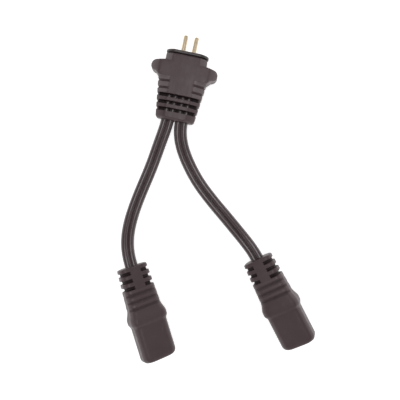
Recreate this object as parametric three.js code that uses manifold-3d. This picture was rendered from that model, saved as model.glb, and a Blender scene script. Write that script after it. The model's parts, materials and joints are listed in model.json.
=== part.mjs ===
// Y splitter cable: a winged two-pin plug whose slotted boot lets out two flat twin-lobe cables,
// each of which ends in a two-pole socket with a slotted, ribbed strain relief.
//
// Millimetres. The origin is the centre of the plug's mating face, +Y runs out along its pins and
// +Z is up from the table that the cable lies on. Both kinds of connector are drawn in the same
// local frame: the mating face at y = 0, the pins or holes along Y, and "depth" counted back from
// the face, so depth d lies at y = -d.

import * as THREE from "three";
import { LoftGeometry } from "three/addons/geometries/LoftGeometry.js";
import { mergeVertices } from "three/addons/utils/BufferGeometryUtils.js";
import Module from "manifold-3d";

const wasm = await Module();
wasm.setup();

// Shared by plug, sockets and cables
const FIT = 0.3; // clearance between pieces that touch
const PIN_FIT = 0.12; // clearance round a pin in its carrier
const POLE_PITCH = 4.9; // between the two pins, and between the two contacts
const PIN_RADIUS = 1.0;
const TAIL_RADIUS = 0.4; // bare copper at each stripped end
const SQUARE = [0.1, 2]; // corner and points per corner of an outline with all but sharp corners

// Flat twin-lobe cable
const LOBE_RADIUS = 1.55;
const LOBE_PITCH = 2.8;
const CABLE_GAP = 0.3; // between the two cables where they lie side by side in the plug
const CABLE_HALF_WIDTH = LOBE_PITCH / 2 + LOBE_RADIUS;
const CABLE_OFFSET = CABLE_HALF_WIDTH + CABLE_GAP / 2; // of each cable from the plug's middle

// Plug: front rim of the pin carrier, and the moulded body behind it
const RIM = { halfWidth: 9.55, halfHeight: 5.0, corner: 3.6, thickness: 1.3, edge: 0.4 };
const PLUG = {
  length: 30.8, // from the mating face to the end of the boot
  neckHalfWidth: 9.25,
  rootHalfWidth: 10.9, // just behind the wings
  endHalfWidth: 8.6,
  halfHeight: 5.0,
  endHalfHeight: 4.3,
  corner: 3.4,
  edge: 0.5, // rounding of the front edge
  rearEdge: 1.2, // and of the rear edge
};
const WING = {
  start: 5.0,
  length: 7.2, // at the root
  halfSpan: 15.0,
  corner: 2.3, // of the tip, seen from above
  sweep: 1.7, // how far the rear edge draws forward towards the tip
  shoulder: 0.6, // and the front edge backwards
  edge: 4.0, // rounding of the tip's cross-section
};
const TONGUE_HALF_WIDTH = 5.4; // smooth panel between the side ribs
const RIB = { first: 14.2, pitch: 3.1, count: 5, width: 0.9, depth: 0.45 }; // grooves round the boot
const SLOT = { first: 20.4, count: 3, width: 1.7, margin: 0.95, floor: 0.8 }; // windows over the cables

// Pins and the carrier that holds them
const PIN = {
  reach: 8.1, // out of the mating face
  tip: 0.55, // rounding of the free end
  collarRadius: 1.75,
  collarLength: 1.0,
  cupRadius: 1.75,
  cupLength: 3.6,
};
const CARRIER = { depth: 8.2, halfWidth: 6.6, halfHeight: 3.3, corner: 1.6 };
const TAIL_BITE = 2.4; // how far a stripped tail reaches into its cup
const TAIL_LIFT = 0.65; // how far the tails that cross in the plug pass over and under each other

// Socket: moulded body, from the mouth back to the cable
const SOCKET = {
  barrel: 16.4, // smooth part behind the mouth
  land: 3.6, // flat top of the bulge
  shoulder: 3.1, // slope from the bulge down to the neck
  neck: 7.8, // ribbed neck up to the first open gap
  barrelHalfWidth: 7.8,
  barrelHalfHeight: 4.55,
  barrelCorner: 1.9,
  bulgeHalfWidth: 8.55,
  bulgeHalfHeight: 5.2,
  bulgeCorner: 2.1,
  neckHalfWidth: 7.5,
  neckHalfHeight: 4.4,
  endHalfWidth: 6.6,
  endHalfHeight: 3.85,
  neckCorner: 2.0,
  mouthLength: 2.4, // rounding of the mouth along the barrel
  mouthInset: 1.9, // and how far it draws the sides in
  mouthDrop: 1.0, // and the top and bottom
  step: 1.1, // length over which the land drops to the barrel
};
const NECK_GROOVE = { count: 3, pitch: 3.05, inset: 1.1, width: 0.7, depth: 0.45 };
const DISC = { count: 4, thickness: 1.75, pitch: 3.25 };
const SPINE_HALF_WIDTH = 2.4; // top and bottom rib that joins the discs
const CORE = { halfWidth: 5.9, halfHeight: 2.3, corner: 1.3 }; // what is left between the discs

// Contacts and the carrier that holds them in the mouth
const NEST = { depth: 17.2, halfWidth: 5.0, halfHeight: 2.7, corner: 1.2 };
const ENTRY = { radius: 1.3, depth: 0.9 }; // lead-in hole in front of each contact
const CONTACT = {
  radius: 1.55,
  bore: 1.1, // radius of the sleeve that takes the pin
  boreDepth: 11.0,
  behind: 2.3, // how far it stands out behind the carrier
  collar: 0.45, // how far the collar stands out
  collarLength: 1.0,
  cup: 2.6, // depth of the cup for the tail
};
const SOCKET_STRIP = 3.6; // bare length between the contacts and the cable in a socket

const CONTACT_REAR = NEST.depth + FIT + CONTACT.behind;
const SOCKET_DEPTH_OF_CABLE = CONTACT_REAR + SOCKET_STRIP;

// The table lies under the plug's flat underside
const TABLE = -Math.max(PLUG.halfHeight, RIM.halfHeight);

// Each branch: which side it leaves on, how far its socket is rolled about its own axis, and the
// points of its cable from the stripped end in the plug to the stripped end in the socket
const BRANCHES = [
  {
    name: "left",
    side: -1,
    roll: -26,
    route: [
      [-3.1, -18.1, 0], [-3.1, -21.7, 0], [-3.1, -25.3, 0], [-3.1, -29.1, 0], [-3.31, -33.0, -0.12],
      [-3.99, -37.7, -0.85], [-4.79, -42.4, -1.85], [-5.55, -47.1, -2.75], [-6.33, -51.8, -3.3],
      [-7.2, -56.5, -3.44], [-8.14, -61.15, -3.44], [-9.06, -65.85, -3.4], [-9.84, -70.55, -3.1],
      [-10.39, -75.25, -2.4], [-10.6, -80.0, -1.3], [-10.33, -84.8, 0.0], [-9.43, -89.45, 1.25],
      [-7.82, -93.9, 2.25], [-5.69, -98.15, 2.68], [-3.54, -102.1, 2.71], [-1.38, -106.05, 2.71],
      [1.01, -110.45, 2.71], [3.4, -114.85, 2.71],
    ],
  },
  {
    name: "right",
    side: 1,
    roll: 18,
    route: [
      [3.1, -18.1, 0], [3.1, -21.7, 0], [3.1, -25.3, 0], [3.1, -29.1, 0], [3.26, -33.0, -0.12],
      [4.27, -37.75, -0.9], [6.23, -42.3, -1.95], [8.83, -46.55, -2.85], [11.8, -50.55, -3.35],
      [15.05, -54.35, -3.44], [18.55, -57.85, -3.44], [22.3, -61.15, -3.4], [26.1, -64.3, -3.05],
      [30.0, -67.4, -2.35], [33.85, -70.5, -1.4], [37.7, -73.65, -0.3], [41.55, -76.85, 0.8],
      [45.25, -80.15, 1.6], [48.6, -83.8, 2.01], [51.4, -87.35, 2.04], [54.2, -90.85, 2.04],
      [57.32, -94.75, 2.04], [60.44, -98.65, 2.04],
    ],
  },
];
const ROUTE_STEPS = 28;
const PLUG_DEPTH_OF_CABLE = -BRANCHES[0].route[0][1];
const TWIST = { clear: 20, length: 30 }; // where the cable turns to its socket's roll, from the inner end

const COLOURS = {
  sleeve: { color: 0x453c3d, roughness: 0.5, metalness: 0 },
  insert: { color: 0x35302c, roughness: 0.45, metalness: 0 },
  jacket: { color: 0x3a3233, roughness: 0.35, metalness: 0 },
  brass: { color: 0xc9a468, roughness: 0.28, metalness: 1 },
  copper: { color: 0xb87048, roughness: 0.35, metalness: 1 },
};

// Depth of the rear end of a pin's cup
function cupEnd() {
  return CARRIER.depth + FIT + PIN.collarLength + PIN.cupLength;
}

// A solid for cutting and joining, from a closed geometry
function solid(geometry) {
  const bare = new THREE.BufferGeometry().setAttribute("position", geometry.getAttribute("position"));
  if (geometry.index) bare.setIndex(geometry.index);
  const merged = mergeVertices(bare, 1e-4);
  return new wasm.Manifold(
    new wasm.Mesh({
      numProp: 3,
      vertProperties: merged.getAttribute("position").array,
      triVerts: new Uint32Array(merged.index.array),
    }),
  );
}

// A named mesh from a solid
function part(name, body, look) {
  const made = body.getMesh();
  const geometry = new THREE.BufferGeometry();
  geometry.setAttribute("position", new THREE.BufferAttribute(made.vertProperties, 3));
  geometry.setIndex(new THREE.BufferAttribute(made.triVerts, 1));
  geometry.computeVertexNormals();
  const mesh = new THREE.Mesh(geometry, new THREE.MeshStandardMaterial(COLOURS[look]));
  mesh.name = name;
  return mesh;
}

// Outline of a rounded rectangle, counter-clockwise; x runs across and y up
function roundedOutline(halfWidth, halfHeight, corner, perCorner = 5) {
  const r = Math.min(corner, halfWidth - 0.01, halfHeight - 0.01);
  const points = [];
  for (let quarter = 0; quarter < 4; quarter++) {
    const cx = (quarter === 0 || quarter === 3 ? 1 : -1) * (halfWidth - r);
    const cy = (quarter < 2 ? 1 : -1) * (halfHeight - r);
    for (let i = 0; i < perCorner; i++) {
      const angle = ((quarter + i / (perCorner - 1)) * Math.PI) / 2;
      points.push(new THREE.Vector2(cx + r * Math.cos(angle), cy + r * Math.sin(angle)));
    }
  }
  return points;
}

// A solid skinned over rounded rectangles, each [depth, half width, half height, corner]
function loft(stations) {
  const sections = stations.map(([depth, halfWidth, halfHeight, corner]) =>
    roundedOutline(halfWidth, halfHeight, corner).map((p) => new THREE.Vector3(p.x, -depth, p.y)),
  );
  return solid(new LoftGeometry(sections, { capStart: true, capEnd: true }));
}

// A straight slab of one section between two depths; the section's y is the part's z
function slab(shape, from, to) {
  const geometry = new THREE.ExtrudeGeometry(shape, { depth: to - from, bevelEnabled: false });
  return solid(geometry.rotateX(Math.PI / 2).translate(0, -from, 0));
}

// A box given by its middle in x, its depths and its heights
function block(x, halfWidth, fromDepth, toDepth, bottom, top) {
  const geometry = new THREE.BoxGeometry(2 * halfWidth, toDepth - fromDepth, top - bottom);
  return solid(geometry.translate(x, -(fromDepth + toDepth) / 2, (bottom + top) / 2));
}

// A turned piece about a line along Y at x; the profile is [radius, depth] from the front backwards
function turned(x, profile, sides = 16) {
  const points = profile.map(([radius, depth]) => new THREE.Vector2(radius, -depth)).reverse();
  return solid(new THREE.LatheGeometry(points, sides).translate(x, 0, 0));
}

// A round bore about a line along Y at x
function bore(x, radius, from, to) {
  return turned(x, [[0, from], [radius, from], [radius, to], [0, to]]);
}

// Everything between two depths that lies outside each of the given rounded rectangles
function collarCut(from, to, ...spared) {
  const reach = 4 * PLUG.endHalfWidth;
  const outside = [[-reach, -reach], [reach, -reach], [reach, reach], [-reach, reach]];
  let cut = slab(new THREE.Shape(outside.map(([x, y]) => new THREE.Vector2(x, y))), from, to);
  for (const outline of spared) {
    cut = cut.subtract(slab(new THREE.Shape(roundedOutline(...outline)), from - 1, to + 1));
  }
  return cut;
}

// Straight blend between two values
function mix(a, b, t) {
  return a + (b - a) * t;
}

// Where the poles of a connector lie across it
const POLES = [
  { name: "negative", x: -POLE_PITCH / 2 },
  { name: "positive", x: POLE_PITCH / 2 },
];

// Twin-lobe section of the cable: x across the lobes, y through one
function cableOutline() {
  const waist = Math.sqrt(LOBE_RADIUS ** 2 - (LOBE_PITCH / 2) ** 2);
  const points = [];
  for (const side of [1, -1]) {
    for (let i = 0; i <= 4; i++) {
      const angle = (-side * Math.PI) / 2 + (i * Math.PI) / 4;
      const x = (side * LOBE_PITCH) / 2 + LOBE_RADIUS * Math.cos(angle);
      points.push(new THREE.Vector2(x, LOBE_RADIUS * Math.sin(angle)));
    }
    points.push(new THREE.Vector2(0, side * waist));
  }
  return new THREE.Shape(points);
}

// The line a cable follows. Its section lies level, and near the socket it turns about the line
// until it has the socket's roll.
class CableRoute extends THREE.CatmullRomCurve3 {
  constructor(points, endRoll) {
    super(points);
    this.endRoll = THREE.MathUtils.degToRad(endRoll);
  }

  computeFrenetFrames(segments) {
    const total = this.getLength();
    const frames = { tangents: [], normals: [], binormals: [] };
    for (let i = 0; i <= segments; i++) {
      const u = i / segments;
      const fromEnd = (1 - u) * total;
      const turned = THREE.MathUtils.smoothstep(-fromEnd, -(TWIST.clear + TWIST.length), -TWIST.clear);
      const tangent = this.getTangentAt(u);
      const across = new THREE.Vector3(0, 0, 1).cross(tangent).normalize();
      across.applyAxisAngle(tangent, this.endRoll * turned);
      frames.tangents.push(tangent);
      frames.normals.push(across);
      frames.binormals.push(new THREE.Vector3().crossVectors(tangent, across));
    }
    return frames;
  }
}

function routeOf(branch) {
  return new CableRoute(branch.route.map((p) => new THREE.Vector3(...p)), branch.roll);
}

function cable(branch) {
  const settings = { steps: ROUTE_STEPS, extrudePath: routeOf(branch) };
  return part(`${branch.name}_cable`, solid(new THREE.ExtrudeGeometry(cableOutline(), settings)), "jacket");
}

// Bare copper from a cable's end to its cup: straight out of the cable, across at the lift, and
// straight into the cup
function tail(name, from, mouth, bite, lift = 0) {
  const across = new THREE.Vector3().lerpVectors(from, mouth, 0.5);
  const lead = new THREE.Vector3(0, (mouth.y - from.y) / 5, 0);
  const path = new THREE.CatmullRomCurve3([
    from,
    from.clone().add(lead),
    across.setZ(across.z + lift),
    mouth.clone().sub(lead),
    mouth,
    mouth.clone().add(new THREE.Vector3(0, bite, 0)),
  ]);
  const section = new THREE.Shape().absarc(0, 0, TAIL_RADIUS, 0, 2 * Math.PI);
  const geometry = new THREE.ExtrudeGeometry(section, { steps: 10, extrudePath: path, curveSegments: 4 });
  return part(name, solid(geometry), "copper");
}

// Plan of both wings across the body: one half drawn from the middle outwards, then mirrored
function wingOutline() {
  const rootDepth = WING.start + WING.length;
  const tipStart = WING.start + WING.shoulder;
  const tipEnd = rootDepth - WING.sweep;
  const insideTip = WING.halfSpan - WING.corner;
  const right = new THREE.Path()
    .moveTo(0, -WING.start)
    .lineTo(PLUG.neckHalfWidth, -WING.start)
    .lineTo(insideTip, -tipStart)
    .quadraticCurveTo(WING.halfSpan, -tipStart, WING.halfSpan, -(tipStart + WING.corner))
    .lineTo(WING.halfSpan, -(tipEnd - WING.corner))
    .quadraticCurveTo(WING.halfSpan, -tipEnd, insideTip, -mix(tipEnd, rootDepth, 0.35))
    .lineTo(PLUG.rootHalfWidth, -rootDepth)
    .lineTo(0, -rootDepth)
    .getPoints(5);
  const left = right.slice(1, -1).map((p) => new THREE.Vector2(-p.x, p.y)).reverse();
  return new THREE.Shape([...right, ...left]);
}

// Moulded plug body, wings and boot
function plugOvermould() {
  const start = RIM.thickness + FIT;
  const rootDepth = WING.start + WING.length;
  const halfWidthAt = (depth) =>
    mix(PLUG.rootHalfWidth, PLUG.endHalfWidth, (depth - rootDepth) / (PLUG.length - rootDepth));
  const halfHeightAt = (depth) =>
    mix(PLUG.halfHeight, PLUG.endHalfHeight, (depth - rootDepth) / (PLUG.length - rootDepth));
  const stations = [
    [start, PLUG.neckHalfWidth - PLUG.edge, PLUG.halfHeight - PLUG.edge, PLUG.corner],
    [start + PLUG.edge, PLUG.neckHalfWidth, PLUG.halfHeight, PLUG.corner],
    [WING.start, PLUG.neckHalfWidth, PLUG.halfHeight, PLUG.corner],
    [rootDepth, PLUG.rootHalfWidth, PLUG.halfHeight, PLUG.corner],
  ];
  for (let i = 0; i <= 2; i++) {
    const angle = (i * Math.PI) / 4;
    const drawnIn = PLUG.rearEdge * (1 - Math.cos(angle));
    stations.push([
      PLUG.length - PLUG.rearEdge * (1 - Math.sin(angle)),
      PLUG.endHalfWidth - drawnIn,
      PLUG.endHalfHeight - drawnIn,
      PLUG.corner,
    ]);
  }
  let body = loft(stations);

  // Wings: their plan, cut to the rounded cross-section that their tips have
  const thickness = { depth: 2 * PLUG.halfHeight, bevelEnabled: false };
  const wingPlate = new THREE.ExtrudeGeometry(wingOutline(), thickness).translate(0, 0, -PLUG.halfHeight);
  const wingSection = loft([
    [WING.start - 1, WING.halfSpan, PLUG.halfHeight, WING.edge],
    [rootDepth + 1, WING.halfSpan, PLUG.halfHeight, WING.edge],
  ]);
  body = body.add(solid(wingPlate).intersect(wingSection));

  // Grooves round the boot; the first ones spare the smooth panel
  const tongue = [TONGUE_HALF_WIDTH, PLUG.halfHeight + 1, ...SQUARE];
  for (let i = 0; i < RIB.count; i++) {
    const depth = RIB.first + i * RIB.pitch;
    const inner = [halfWidthAt(depth) - RIB.depth, halfHeightAt(depth) - RIB.depth, PLUG.corner];
    const spared = depth < SLOT.first - RIB.pitch / 2 ? [inner, tongue] : [inner];
    body = body.subtract(collarCut(depth - RIB.width / 2, depth + RIB.width / 2, ...spared));
  }

  // Slots over and under the cables
  for (let i = 0; i < SLOT.count; i++) {
    const depth = SLOT.first + i * RIB.pitch;
    const halfWidth = halfWidthAt(depth) - SLOT.margin;
    const from = depth - SLOT.width / 2;
    const to = depth + SLOT.width / 2;
    body = body.subtract(block(0, halfWidth, from, to, SLOT.floor, PLUG.halfHeight + 1));
    body = body.subtract(block(0, halfWidth, from, to, -PLUG.halfHeight - 1, -SLOT.floor));
  }

  // Pocket of the pin carrier, chamber of the cups and tails, and way of the two cables
  const pocketEnd = CARRIER.depth + FIT;
  const cableHalfWidth = CABLE_OFFSET + CABLE_HALF_WIDTH + FIT;
  body = body.subtract(
    loft([
      [0, CARRIER.halfWidth + FIT, CARRIER.halfHeight + FIT, CARRIER.corner + FIT],
      [pocketEnd, CARRIER.halfWidth + FIT, CARRIER.halfHeight + FIT, CARRIER.corner + FIT],
    ]),
  );
  body = body.subtract(
    loft([
      [pocketEnd - 1, cableHalfWidth, PIN.collarRadius + FIT, PIN.collarRadius],
      [PLUG_DEPTH_OF_CABLE, cableHalfWidth, PIN.collarRadius + FIT, PIN.collarRadius],
    ]),
  );
  body = body.subtract(
    loft([
      [PLUG_DEPTH_OF_CABLE - 1, cableHalfWidth, LOBE_RADIUS + FIT, LOBE_RADIUS + FIT],
      [PLUG.length + 1, cableHalfWidth, LOBE_RADIUS + FIT, LOBE_RADIUS + FIT],
    ]),
  );
  return part("plug_overmould", body, "sleeve");
}

// Rim that shows at the front and the block behind it that holds the pins
function pinCarrier() {
  let body = loft([
    [0, RIM.halfWidth - RIM.edge, RIM.halfHeight - RIM.edge, RIM.corner],
    [RIM.edge, RIM.halfWidth, RIM.halfHeight, RIM.corner],
    [RIM.thickness, RIM.halfWidth, RIM.halfHeight, RIM.corner],
  ]);
  body = body.add(
    loft([
      [RIM.thickness - 0.5, CARRIER.halfWidth, CARRIER.halfHeight, CARRIER.corner],
      [CARRIER.depth, CARRIER.halfWidth, CARRIER.halfHeight, CARRIER.corner],
    ]),
  );
  for (const pole of POLES) body = body.subtract(bore(pole.x, PIN_RADIUS + PIN_FIT, -1, CARRIER.depth + 1));
  return part("pin_carrier", body, "insert");
}

// One pin: round-ended shank, collar behind the carrier and a cup for the tails
function pin(pole) {
  const collar = CARRIER.depth + FIT;
  const cup = collar + PIN.collarLength;
  const cupBore = cupBoreRadius();
  const profile = [
    [0, -PIN.reach],
    [PIN_RADIUS - PIN.tip, -PIN.reach],
    [PIN_RADIUS - 0.15 * PIN.tip, -PIN.reach + 0.5 * PIN.tip],
    [PIN_RADIUS, -PIN.reach + PIN.tip * 1.6],
    [PIN_RADIUS, collar],
    [PIN.collarRadius, collar],
    [PIN.collarRadius, cup],
    [PIN.cupRadius, cup],
    [PIN.cupRadius, cupEnd()],
    [cupBore, cupEnd()],
    [cupBore, cupEnd() - TAIL_BITE - FIT],
    [0, cupEnd() - TAIL_BITE - FIT],
  ];
  return part(`${pole.name}_pin`, turned(pole.x, profile), "brass");
}

// Bore of a pin's cup: two tails side by side
function cupBoreRadius() {
  return 2 * TAIL_RADIUS + FIT;
}

// Tails from a cable in the plug. Each cup takes one from either cable, side by side; the tail that
// has to cross the middle passes over or under the other cable's.
function plugTails(branch) {
  return POLES.map((pole) => {
    const lobe = branch.side * CABLE_OFFSET + (Math.sign(pole.x) * LOBE_PITCH) / 2;
    const inCup = pole.x + branch.side * (TAIL_RADIUS + FIT / 2);
    const crosses = Math.sign(pole.x) !== branch.side;
    return tail(
      `${branch.name}_cable_${pole.name}_tail`,
      new THREE.Vector3(lobe, -PLUG_DEPTH_OF_CABLE + FIT, 0),
      new THREE.Vector3(inCup, -cupEnd(), 0),
      TAIL_BITE,
      crosses ? branch.side * TAIL_LIFT : 0,
    );
  });
}

// Moulded socket body, from the rounded mouth to the open discs at the cable
function socketOvermould(name) {
  const bulgeStart = SOCKET.barrel + SOCKET.step;
  const ridge = SOCKET.barrel + SOCKET.land;
  const foot = ridge + SOCKET.shoulder;
  const neckEnd = foot + SOCKET.neck;
  const end = neckEnd + DISC.pitch * (DISC.count - 1) + DISC.thickness;
  const stations = [];
  for (let i = 0; i <= 3; i++) {
    const angle = (i * Math.PI) / 6;
    const drawnIn = 1 - Math.sin(angle);
    stations.push([
      SOCKET.mouthLength * (1 - Math.cos(angle)),
      SOCKET.barrelHalfWidth - drawnIn * SOCKET.mouthInset,
      SOCKET.barrelHalfHeight - drawnIn * SOCKET.mouthDrop,
      SOCKET.barrelCorner,
    ]);
  }
  stations.push(
    [SOCKET.barrel, SOCKET.barrelHalfWidth, SOCKET.barrelHalfHeight, SOCKET.barrelCorner],
    [bulgeStart, SOCKET.bulgeHalfWidth, SOCKET.bulgeHalfHeight, SOCKET.bulgeCorner],
    [ridge, SOCKET.bulgeHalfWidth, SOCKET.bulgeHalfHeight, SOCKET.bulgeCorner],
    [foot, SOCKET.neckHalfWidth, SOCKET.neckHalfHeight, SOCKET.neckCorner],
    [end, SOCKET.endHalfWidth, SOCKET.endHalfHeight, SOCKET.neckCorner],
  );
  let body = loft(stations);

  // Shallow grooves over and under the neck
  for (let i = 0; i < NECK_GROOVE.count; i++) {
    const depth = foot + NECK_GROOVE.inset + i * NECK_GROOVE.pitch;
    const halfHeight = mix(SOCKET.neckHalfHeight, SOCKET.endHalfHeight, (depth - foot) / (end - foot));
    const spared = [SOCKET.bulgeHalfWidth, halfHeight - NECK_GROOVE.depth, ...SQUARE];
    body = body.subtract(collarCut(depth - NECK_GROOVE.width / 2, depth + NECK_GROOVE.width / 2, spared));
  }

  // Open gaps between the discs, bridged by the spine and the core
  const core = [CORE.halfWidth, CORE.halfHeight, CORE.corner];
  const spine = [SPINE_HALF_WIDTH, SOCKET.neckHalfHeight + 1, ...SQUARE];
  for (let i = 1; i < DISC.count; i++) {
    const to = end - DISC.thickness - (i - 1) * DISC.pitch;
    const from = to - (DISC.pitch - DISC.thickness);
    body = body.subtract(collarCut(from, to, core, spine));
  }

  // Pocket of the contact carrier, chamber of the tails, and way of the cable
  const pocketEnd = NEST.depth + FIT;
  const chamberHalfWidth = POLE_PITCH / 2 + CONTACT.radius + CONTACT.collar + FIT;
  const chamberHalfHeight = CONTACT.radius + CONTACT.collar + FIT;
  body = body.subtract(
    loft([
      [-1, NEST.halfWidth + FIT, NEST.halfHeight + FIT, NEST.corner + FIT],
      [pocketEnd, NEST.halfWidth + FIT, NEST.halfHeight + FIT, NEST.corner + FIT],
    ]),
  );
  body = body.subtract(
    loft([
      [pocketEnd - 1, chamberHalfWidth, chamberHalfHeight, CONTACT.radius],
      [SOCKET_DEPTH_OF_CABLE, chamberHalfWidth, chamberHalfHeight, CONTACT.radius],
    ]),
  );
  body = body.subtract(
    loft([
      [SOCKET_DEPTH_OF_CABLE - 1, CABLE_HALF_WIDTH + FIT, LOBE_RADIUS + FIT, LOBE_RADIUS + FIT],
      [end + 1, CABLE_HALF_WIDTH + FIT, LOBE_RADIUS + FIT, LOBE_RADIUS + FIT],
    ]),
  );
  return part(`${name}_socket_overmould`, body, "sleeve");
}

// Block in the mouth with a lead-in hole and a nest for each contact
function contactCarrier(name) {
  let body = loft([
    [0, NEST.halfWidth, NEST.halfHeight, NEST.corner],
    [NEST.depth, NEST.halfWidth, NEST.halfHeight, NEST.corner],
  ]);
  for (const pole of POLES) {
    body = body.subtract(bore(pole.x, ENTRY.radius, -1, ENTRY.depth + 1));
    body = body.subtract(bore(pole.x, CONTACT.radius + FIT, ENTRY.depth, NEST.depth + 1));
  }
  return part(`${name}_contact_carrier`, body, "insert");
}

// One contact: a sleeve for the pin, a collar behind the carrier and a cup for the tail
function contact(name, pole) {
  const front = ENTRY.depth + FIT;
  const rear = CONTACT_REAR;
  const collar = NEST.depth + FIT;
  const cupBore = TAIL_RADIUS + FIT;
  const profile = [
    [CONTACT.bore, front],
    [CONTACT.radius, front],
    [CONTACT.radius, collar],
    [CONTACT.radius + CONTACT.collar, collar],
    [CONTACT.radius + CONTACT.collar, collar + CONTACT.collarLength],
    [CONTACT.radius, collar + CONTACT.collarLength],
    [CONTACT.radius, rear],
    [cupBore, rear],
    [cupBore, rear - CONTACT.cup],
    [0, rear - CONTACT.cup],
    [0, front + CONTACT.boreDepth],
    [CONTACT.bore, front + CONTACT.boreDepth],
    [CONTACT.bore, front],
  ];
  return part(`${name}_${pole.name}_contact`, turned(pole.x, profile), "brass");
}

// Tails from the cable's lobes into the contacts, each on its own side
function socketTails(name) {
  return POLES.map((pole) =>
    tail(
      `${name}_socket_${pole.name}_tail`,
      new THREE.Vector3((Math.sign(pole.x) * LOBE_PITCH) / 2, -SOCKET_DEPTH_OF_CABLE + FIT, 0),
      new THREE.Vector3(pole.x, -CONTACT_REAR, 0),
      CONTACT.cup - FIT,
    ),
  );
}

// Height of a rolled rounded rectangle's middle over the surface that it rests on
function restHeight(halfWidth, halfHeight, corner, roll) {
  return (halfWidth - corner) * Math.sin(roll) + (halfHeight - corner) * Math.cos(roll) + corner;
}

function socket(branch) {
  const group = new THREE.Group();
  group.add(socketOvermould(branch.name), contactCarrier(branch.name));
  for (const pole of POLES) group.add(contact(branch.name, pole));
  group.add(...socketTails(branch.name));

  // The cable's inner end sets where the socket lies and which way it points
  const points = branch.route.map((p) => new THREE.Vector3(...p));
  const inner = points[points.length - 1];
  const heading = inner.clone().sub(points[points.length - 3]).setZ(0).normalize();
  const roll = THREE.MathUtils.degToRad(branch.roll);
  const { bulgeHalfWidth, bulgeHalfHeight, bulgeCorner } = SOCKET;
  const height = restHeight(bulgeHalfWidth, bulgeHalfHeight, bulgeCorner, Math.abs(roll));
  group.rotation.set(0, roll, Math.atan2(-heading.x, heading.y), "ZYX");
  group.position.copy(inner).addScaledVector(heading, SOCKET_DEPTH_OF_CABLE).setZ(TABLE + height);
  return group;
}

const splitter = new THREE.Group();
splitter.add(plugOvermould(), pinCarrier());
for (const pole of POLES) splitter.add(pin(pole));
for (const branch of BRANCHES) splitter.add(...plugTails(branch), cable(branch), socket(branch));

export default splitter;
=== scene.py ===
"""Y splitter cable: a winged two-pin plug, two flat twin-lobe cables and two slotted sockets.

Every piece is worked out in millimetres as whole numpy arrays and put into its mesh in metres, in
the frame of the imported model: the origin is the middle of the plug's mating face, +Y runs out
along its pins and +Z is up. "Depth" counts back from a mating face, against +Y.
"""

from __future__ import annotations

import json
import logging
import math
import sys
from dataclasses import dataclass, field, fields
from enum import Enum

import bpy
import numpy as np
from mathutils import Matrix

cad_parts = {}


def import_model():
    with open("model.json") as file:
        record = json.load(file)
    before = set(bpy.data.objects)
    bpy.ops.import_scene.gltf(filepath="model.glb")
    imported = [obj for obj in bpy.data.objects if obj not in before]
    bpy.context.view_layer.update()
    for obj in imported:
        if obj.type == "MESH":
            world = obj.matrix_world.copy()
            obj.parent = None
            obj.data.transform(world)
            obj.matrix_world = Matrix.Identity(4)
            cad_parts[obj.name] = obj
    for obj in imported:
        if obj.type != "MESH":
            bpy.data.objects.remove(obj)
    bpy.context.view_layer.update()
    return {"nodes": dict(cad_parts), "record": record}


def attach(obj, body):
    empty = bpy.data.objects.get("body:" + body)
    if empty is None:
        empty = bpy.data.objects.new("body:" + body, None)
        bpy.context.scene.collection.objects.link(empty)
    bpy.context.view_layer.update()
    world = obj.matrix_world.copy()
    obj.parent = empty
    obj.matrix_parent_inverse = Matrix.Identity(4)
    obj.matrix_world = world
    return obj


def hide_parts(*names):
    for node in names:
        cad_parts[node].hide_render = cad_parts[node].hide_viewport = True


MM = 0.001
TABLE_HEIGHT = -5.0
HALF_WALL = 0.05
LOG = logging.getLogger("y_splitter")

Array = np.ndarray


# Small helpers for arrays and meshes


def smooth_rise(values: Array) -> Array:
    """Rises from 0 to 1 as its input does, level at both ends: 3t^2 - 2t^3.

    Args:
        values: Inputs, clipped to 0..1 first.

    Returns:
        The eased values.
    """
    t = np.clip(values, 0.0, 1.0)
    return t * t * (3.0 - 2.0 * t)


def rounding(count: int) -> tuple[Array, Array]:
    """A rounded edge's two shares at even angles over a quarter turn.

    Args:
        count: How many angles.

    Returns:
        1 - sine, which falls from 1 to 0, and 1 - cosine, which grows from 0 to 1.
    """
    turn = np.linspace(0.0, np.pi / 2.0, count)
    return 1.0 - np.sin(turn), 1.0 - np.cos(turn)


def bump_along(depth: Array, centres: Array, half: float, shoulder: float) -> Array:
    """Sum of flat-topped bumps: 1 within half - shoulder of a centre, easing to 0 at half.

    Args:
        depth: Where the bumps are wanted.
        centres: The middle of each bump.
        half: Half the bump's whole width.
        shoulder: The width of its eased flank.

    Returns:
        One value for each depth, 0 to 1.
    """
    away = np.abs(depth[:, None] - np.asarray(centres)[None, :])
    return smooth_rise((half - away) / shoulder).max(axis=1)


def bump_lines(centres: Array, half: float, shoulder: float) -> Array:
    """Depths at which a mesh needs rows to carry bump_along crisply.

    Args:
        centres: The middle of each bump.
        half: Half the bump's whole width.
        shoulder: The width of its eased flank.

    Returns:
        The depths, unsorted.
    """
    flank = half - shoulder * np.array([0.0, 0.25, 0.5, 0.75, 1.0])
    offsets = np.concatenate([-flank, flank, [0.0]])
    return (np.asarray(centres)[:, None] + offsets[None, :]).ravel()


def skin_faces(rows: int, columns: int) -> tuple[Array, Array]:
    """Faces of a closed skin over rings, with a fan to a middle point at either end.

    Vertex r * columns + c is column c of ring r; the two middle points come after all rings.

    Args:
        rows: The number of rings.
        columns: Points on each ring.

    Returns:
        The quads between rings and the triangles of both fans.
    """
    column = np.arange(columns)
    beside = (column + 1) % columns
    start = (np.arange(rows - 1) * columns)[:, None]
    quads = np.stack(
        [start + column, start + beside, start + columns + beside, start + columns + column],
        axis=-1,
    ).reshape(-1, 4)
    first, last = rows * columns, rows * columns + 1
    end = (rows - 1) * columns
    near = np.stack([np.full(columns, first), beside, column], axis=-1)
    far = np.stack([np.full(columns, last), end + column, end + beside], axis=-1)
    return quads, np.concatenate([near, far])


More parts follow.
